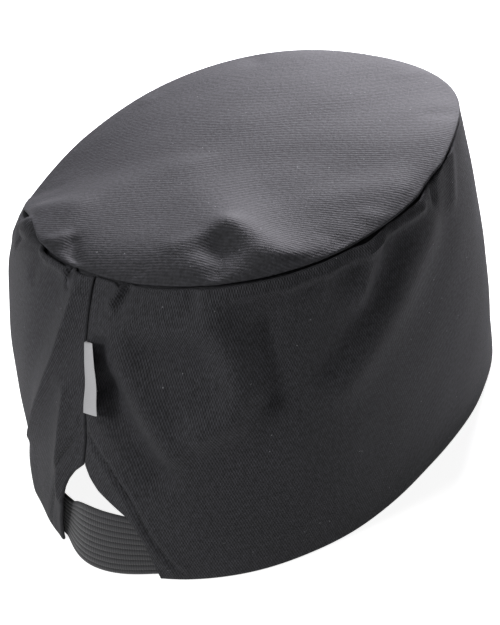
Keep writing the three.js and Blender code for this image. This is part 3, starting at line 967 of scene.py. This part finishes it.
class CAP_OT_crown(bpy.types.Operator):
    """Sews the oval crown: its rolled edge, the allowance behind it and its dents"""

    bl_idname = "cap.crown"
    bl_label = "Crown"

    def execute(self, context):
        sizes = context.scene.cap_sizes
        angle = np.linspace(360, 0, CROWN_COLUMNS + 1)[:, None]
        radius = np.linspace(0, 1, CROWN_RINGS + 1)[None, :]
        reach = np.linalg.norm(crown_edge(angle) - crown_middle(), axis=-1)
        radius = radius * (1 - sizes.crown_roll / reach)
        points = crown_top(sizes, angle + 0 * radius, radius)
        edge = self.rolled_edge(sizes, angle[:, 0], points)
        points = np.concatenate((points, edge), axis=1)
        flat = points[..., :2] - crown_middle()[:2]
        flat = flat + self.allowance_run(points)
        crown = shaped_grid("crown_cloth", points, flat)
        merge_doubles(crown)
        thicken(crown, sizes.cloth_thickness)
        shade(crown)
        colour = context.scene.cap_colours.cloth
        cloth = twill_material(
            "crown_twill", CROWN_PITCH * sizes.twill_pitch, colour,
            rib_angle=72, thread_angle=150, threads_share=0.2, relief=0.09)
        dress(crown, cloth, "cap_cloth", "crown")
        return {"FINISHED"}

    def rolled_edge(self, sizes, angle, points):
        """Rings of the edge: rolled over and under, then turned down behind the band."""
        out = outward(angle)
        up = np.array((0.0, 0.0, 1.0))
        last = points[:, -1]
        slope = unit(last - points[:, -2])
        roll = sizes.crown_roll
        normal = unit(up - slope * (slope @ up)[:, None])
        centre = last - roll * normal
        start = np.arctan2(normal @ up, np.sum(normal * out, -1))
        rings = []
        for step in range(1, ROLL_STEPS + 1):
            turn = (start + (-np.pi / 2 - start) * step / ROLL_STEPS)[:, None]
            rings.append(centre + roll * (np.cos(turn) * out + np.sin(turn) * up))
        bottom = rings[-1]
        pull = seam_pull(angle)[:, None]
        inset = 2 * sizes.seam_roll + SEAM_GAP - sizes.crown_roll + pull
        for turn in TUCK_TURNS:
            inward = inset * math.sin(math.radians(turn))
            down = inset * (1 - math.cos(math.radians(turn)))
            rings.append(bottom - inward * out - down * up)
        for step in range(1, HEM_STEPS + 1):
            height = 1 - (inset[:, 0] + sizes.hem_depth * step / HEM_STEPS) / HEIGHT
            behind = wall(sizes, angle, height)
            rings.append(behind - (2 * (sizes.seam_roll + pull) + SEAM_GAP) * out)
        return np.stack(rings, axis=1)

    def allowance_run(self, points):
        """Carries the weave on over the rolled edge, where the cloth runs down and not out."""
        fall = np.maximum(points[:, CROWN_RINGS:CROWN_RINGS + 1, 2] - points[..., 2], 0)
        fall[:, :CROWN_RINGS] = 0
        away = points[..., :2] - crown_middle()[:2]
        return unit(away + TINY) * fall[..., None]


class CAP_OT_side_band(bpy.types.Operator):
    """Sews the side band: one strip with turned-in edges, joined at the centre back"""

    bl_idname = "cap.side_band"
    bl_label = "Side band"

    def execute(self, context):
        sizes = context.scene.cap_sizes
        low = sizes.edge_roll / HEIGHT
        up = np.linspace(0, 1, BAND_ROWS + 1)[None, :]
        across = gathered(np.linspace(0, 1, BAND_COLUMNS + 1), BAND_GATHER)[:, None]
        shoulder = sizes.seam_roll + seam_pull(360 * across)
        height = low + (1 - shoulder / HEIGHT - low) * up
        inset = sizes.edge_roll + SEAM_GAP / 2
        right = angle_across(arch_half_width("right", height * HEIGHT) + inset, height)
        left = angle_across(arch_half_width("left", height * HEIGHT) + inset, height)
        angle = right + (360 - left - right) * across
        seam_share = smoothstep(up, SHOULDER_START, 1)
        rolls = sizes.edge_roll + (shoulder - sizes.edge_roll) * seam_share

        points, at = hemmed_points(partial(wall, sizes), angle, height, rolls, sizes.hem_depth)
        (_, run), (_, rise) = (hem_lines(count) for count in angle.shape)
        flat = np.stack((
            angle[at] * arc_per_degree() + run[:, None] * HEM_PITCH,
            height[at] * HEIGHT + rise[None, :] * HEM_PITCH,
        ), -1)
        band = shaped_grid("side_band_cloth", points, flat)
        merge_doubles(band)
        thicken(band, sizes.cloth_thickness)
        shade(band)
        colour = context.scene.cap_colours.cloth
        cloth = twill_material(
            "band_twill", sizes.twill_pitch, colour,
            rib_angle=-20, thread_angle=30, threads_share=0.4, relief=0.32)
        dress(band, cloth, "cap_cloth", "side_band")
        return {"FINISHED"}


class CAP_OT_strap(bpy.types.Operator):
    """Makes the ribbed elastic strap across the gap"""

    bl_idname = "cap.strap"
    bl_label = "Elastic strap"

    def execute(self, context):
        sizes = context.scene.cap_sizes
        first = -math.degrees(math.asin((ARCH_LEFT + STRAP_LAP) / (RIM_LENGTH / 2)))
        last = math.degrees(math.asin((ARCH_RIGHT + STRAP_LAP) / (RIM_LENGTH / 2)))
        angle = np.linspace(first, last, STRAP_COLUMNS + 1)[:, None]
        turn = np.linspace(0, 2, 2 * STRAP_ROWS + 1)[None, :]
        share = np.where(turn > 1, 2 - turn, turn)
        face = np.where(turn > 1, -1.0, 1.0)
        z = STRAP_FOOT + STRAP_WIDTH * share + 0 * angle
        away = np.clip(self.away(angle, z), 0, 1)
        narrow = np.where(angle < 0, STRAP_NARROW_LEFT, STRAP_NARROW_RIGHT)
        z = STRAP_FOOT + STRAP_WIDTH * share * (1 - narrow * away ** 2)
        rib = np.abs(np.sin(np.pi * sizes.strap_ribs * share)) ** RIB_POWER
        rounding = np.sqrt(np.clip(1 - np.abs(2 * share - 1) ** STRAP_EDGE_POWER, 0, 1))
        half = sizes.strap_thickness / 2 * (RIB_GROOVE + (1 - RIB_GROOVE) * rib) * rounding
        depth = 2 * sizes.edge_roll + sizes.strap_thickness / 2 + STRAP_CLEAR
        bow = STRAP_BOW + (STRAP_BOW_TOP - STRAP_BOW) * share
        depth = depth - bow * (1 - away * away) ** BOW_POWER - face * half
        centre = smooth_wall(angle + 0 * z, z / HEIGHT)
        points = centre - outward(angle + 0 * z) * depth[..., None]
        flat = np.stack((angle * arc_per_degree() + 0 * z, STRAP_WIDTH * turn + 0 * z), -1)
        strap = shaped_grid("elastic_strap_braid", points, flat)
        merge_doubles(strap)
        pick(strap)
        bpy.ops.object.mode_set(mode="EDIT")
        bpy.ops.mesh.select_all(action="DESELECT")
        bpy.ops.mesh.select_non_manifold()
        bpy.ops.mesh.edge_face_add()
        bpy.ops.object.mode_set(mode="OBJECT")
        shade(strap)
        braid = elastic_material("ribbed_elastic", sizes, context.scene.cap_colours.elastic)
        dress(strap, braid, "elastic", "elastic_strap")
        return {"FINISHED"}

    def away(self, angle, z):
        """How near to an edge of the gap each place is: 0 at the seam and 1 at the edge."""
        left = angle_across(arch_half_width("left", z) + TINY, z / HEIGHT)
        right = angle_across(arch_half_width("right", z) + TINY, z / HEIGHT)
        return np.abs(angle) / np.where(angle < 0, left, right)


class CAP_OT_label(bpy.types.Operator):
    """Folds the small bare label and holds it in the back seam"""

    bl_idname = "cap.label"
    bl_label = "Seam label"

    def execute(self, context):
        sizes = context.scene.cap_sizes
        up = np.linspace(0, 1, LABEL_ROWS + 1)[None, :]
        turn = np.linspace(0, 1, LABEL_COLUMNS + 1)[:, None]
        length = sizes.label_width + LABEL_SUNK
        run = 2 * length * turn
        out = np.minimum(run, 2 * length - run)
        fold = LABEL_FOLD * np.sqrt(np.clip(1 - (out / length) ** LABEL_FOLD_POWER, 0, 1))
        side = np.where(run > length, -1, 1) * fold
        bend = np.clip((out - LABEL_SUNK) / LABEL_BEND, 0, np.pi / 2)
        rest = np.maximum(out - LABEL_SUNK - LABEL_BEND * np.pi / 2, 0)
        along = LABEL_BEND * (1 - np.cos(bend)) + rest - side * np.cos(bend)
        stand = (LABEL_BEND + side) * np.sin(bend) + np.minimum(out - LABEL_SUNK, 0)
        height = (LABEL_FOOT + sizes.label_length * up) / HEIGHT
        root = wall(sizes, 0 * turn + 0 * up, height + 0 * turn)
        lift = np.radians(LABEL_LIFT_LOW + (LABEL_LIFT_HIGH - LABEL_LIFT_LOW) * up + 0 * turn)
        rise = LABEL_RISE_LOW + (LABEL_RISE_HIGH - LABEL_RISE_LOW) * up + 0 * turn
        level = np.stack((-np.cos(lift), np.sin(lift), rise), -1)
        facing = np.stack((np.sin(lift), np.cos(lift), 0 * lift), -1)
        points = root + along[..., None] * level + stand[..., None] * facing
        flat = np.stack((run + 0 * up, sizes.label_length * up + 0 * run), -1)
        label = shaped_grid("label_tape", points, flat)
        thicken(label, LABEL_TAPE)
        shade(label)
        tape = tape_material("label_tape", context.scene.cap_colours.label)
        dress(label, tape, "label_tape", "seam_label")
        return {"FINISHED"}


class CAP_OT_stitches(bpy.types.Operator):
    """Runs the stitch line round the gap, one short thread for each stitch"""

    bl_idname = "cap.stitches"
    bl_label = "Stitches"

    def execute(self, context):
        sizes = context.scene.cap_sizes
        deselect()
        bpy.ops.mesh.primitive_uv_sphere_add(segments=8, ring_count=6, radius=0.5)
        pattern = bpy.context.object
        stitches = []
        for side in ("right", "left"):
            for place in self.places(sizes, side):
                stitch = pattern.copy()
                stitch.data = pattern.data.copy()
                stitch.data.transform(place)
                context.collection.objects.link(stitch)
                stitches.append(stitch)
        bpy.data.objects.remove(pattern)
        deselect()
        for stitch in stitches:
            stitch.select_set(True)
        context.view_layer.objects.active = stitches[0]
        bpy.ops.object.join()
        thread = context.object
        thread.name = "gap_stitches"
        thread.data.name = "gap_stitches"
        shade(thread)
        finish = thread_material("sewing_thread", context.scene.cap_colours.thread)
        dress(thread, finish, "cap_cloth")
        return {"FINISHED"}

    def places(self, sizes, side):
        """Where each stitch lies: its length along the line, half sunk in the ditch."""
        corners = stitch_points(side)
        lengths = np.linalg.norm(np.diff(corners, axis=0), axis=-1)
        runs = np.concatenate(((0,), np.cumsum(lengths)))
        pitch = sizes.stitch_length + sizes.stitch_gap
        middles = np.arange(pitch / 2, runs[-1], pitch)
        ends = middles[:, None] + np.array((-0.5, 0.5)) * sizes.stitch_length
        across = np.interp(ends, runs, corners[:, 0]) / arc_per_degree()
        height = np.interp(ends, runs, corners[:, 1]) / HEIGHT
        point, _, _, normal = surface_frame(partial(wall, sizes), across, height)
        thickness = sizes.thread_thickness
        matrices = []
        for pair, facing in zip(point, normal):
            run = Vector(pair[1] - pair[0])
            along = run.normalized()
            out = Vector(facing.mean(axis=0)).normalized()
            turn = Matrix((along, out.cross(along), out)).transposed().to_4x4()
            size = Matrix.Diagonal((run.length, thickness, THREAD_FLATNESS * thickness, 1))
            matrices.append(Matrix.Translation(Vector(pair.mean(axis=0))) @ turn @ size)
        return matrices


# Stage

def toward(azimuth, elevation):
    """The way to a light or the camera. Azimuth 0 is before the forehead, and 90 is at the
    wearer's left."""
    azimuth, elevation = math.radians(azimuth), math.radians(elevation)
    level = math.cos(elevation)
    return Vector((math.sin(azimuth) * level, -math.cos(azimuth) * level, math.sin(elevation)))


class CAP_OT_stage(bpy.types.Operator):
    """Sets up the pale floor, the soft studio light and the camera"""

    bl_idname = "cap.stage"
    bl_label = "Stage"

    def execute(self, context):
        self.floor(context)
        for light in LIGHTS:
            self.soft_box(light)
        self.white_room(context.scene)
        self.camera(context.scene)
        context.scene.view_settings.view_transform = "Standard"
        return {"FINISHED"}

    def floor(self, context):
        """Lays the glowing floor a hair below the rim."""
        deselect()
        bpy.ops.mesh.primitive_plane_add(size=FLOOR_SIZE, location=(0, 0, 0))
        floor = bpy.context.object
        floor.name = "floor"
        floor.data.transform(Matrix.Translation((0, 0, -FLOOR_GAP)))
        pale = floor_material("pale_floor", context.scene.cap_colours.floor)
        floor.data.materials.append(pale)

    def soft_box(self, light):
        """Hangs one round light and turns it to the middle of the cap."""
        way = toward(light.azimuth, light.elevation)
        aim = Vector((0, 0, HEIGHT / 2))
        deselect()
        bpy.ops.object.light_add(type="AREA", location=aim + way * light.distance)
        lamp = bpy.context.object
        lamp.name = light.name
        lamp.data.shape = "DISK"
        lamp.data.size = light.size
        lamp.data.energy = light.power
        lamp.data.color = light.colour
        lamp.visible_camera = False
        lamp.rotation_euler = way.to_track_quat("Z", "Y").to_euler()

    def white_room(self, scene):
        """Makes the background white, though it gives little light."""
        scene.world = bpy.data.worlds.new("white_room")
        scene.world.use_nodes = True
        tree = scene.world.node_tree
        seen = tree.nodes.new("ShaderNodeLightPath").outputs["Is Camera Ray"]
        light = math_node(tree, "MAXIMUM", seen, ROOM_LIGHT)
        fill(tree, tree.nodes["Background"], {"Color": grey(1.0), "Strength": light})

    def camera(self, scene):
        """Places the camera and rolls it as the photograph was."""
        back = toward(CAMERA_AZIMUTH, CAMERA_ELEVATION)
        deselect()
        bpy.ops.object.camera_add(location=Vector(CAMERA_TARGET) + back * CAMERA_DISTANCE)
        camera = bpy.context.object
        camera.name = "photo_camera"
        level = back.to_track_quat("Z", "Y").to_matrix()
        roll = Matrix.Rotation(math.radians(CAMERA_ROLL), 3, "Z")
        camera.rotation_euler = (level @ roll).to_euler()
        camera.data.lens = CAMERA_LENS
        scene.camera = camera


OPERATORS = (
    CAP_OT_crown,
    CAP_OT_side_band,
    CAP_OT_strap,
    CAP_OT_label,
    CAP_OT_stitches,
    CAP_OT_stage,
)


class CAP_PT_pieces(bpy.types.Panel):
    """Lists the cap's pieces, sizes and colours in the sidebar"""

    bl_idname = "CAP_PT_pieces"
    bl_label = "Skull cap"
    bl_space_type = "VIEW_3D"
    bl_region_type = "UI"
    bl_category = "Skull cap"

    def draw(self, context):
        for operator in OPERATORS:
            self.layout.operator(operator.bl_idname)
        for group in (context.scene.cap_sizes, context.scene.cap_colours):
            for name in group.__annotations__:
                self.layout.prop(group, name)


CLASSES = (CapSizes, CapColours, *OPERATORS, CAP_PT_pieces)


def register():
    for item in CLASSES:
        bpy.utils.register_class(item)
    bpy.types.Scene.cap_sizes = bpy.props.PointerProperty(type=CapSizes)
    bpy.types.Scene.cap_colours = bpy.props.PointerProperty(type=CapColours)


def unregister():
    del bpy.types.Scene.cap_colours
    del bpy.types.Scene.cap_sizes
    for item in reversed(CLASSES):
        bpy.utils.unregister_class(item)


def main():
    """Builds the stage and every piece."""
    register()
    bpy.ops.cap.stage()
    bpy.ops.cap.crown()
    bpy.ops.cap.side_band()
    bpy.ops.cap.strap()
    bpy.ops.cap.label()
    bpy.ops.cap.stitches()


if __name__ == "__main__":
    main()
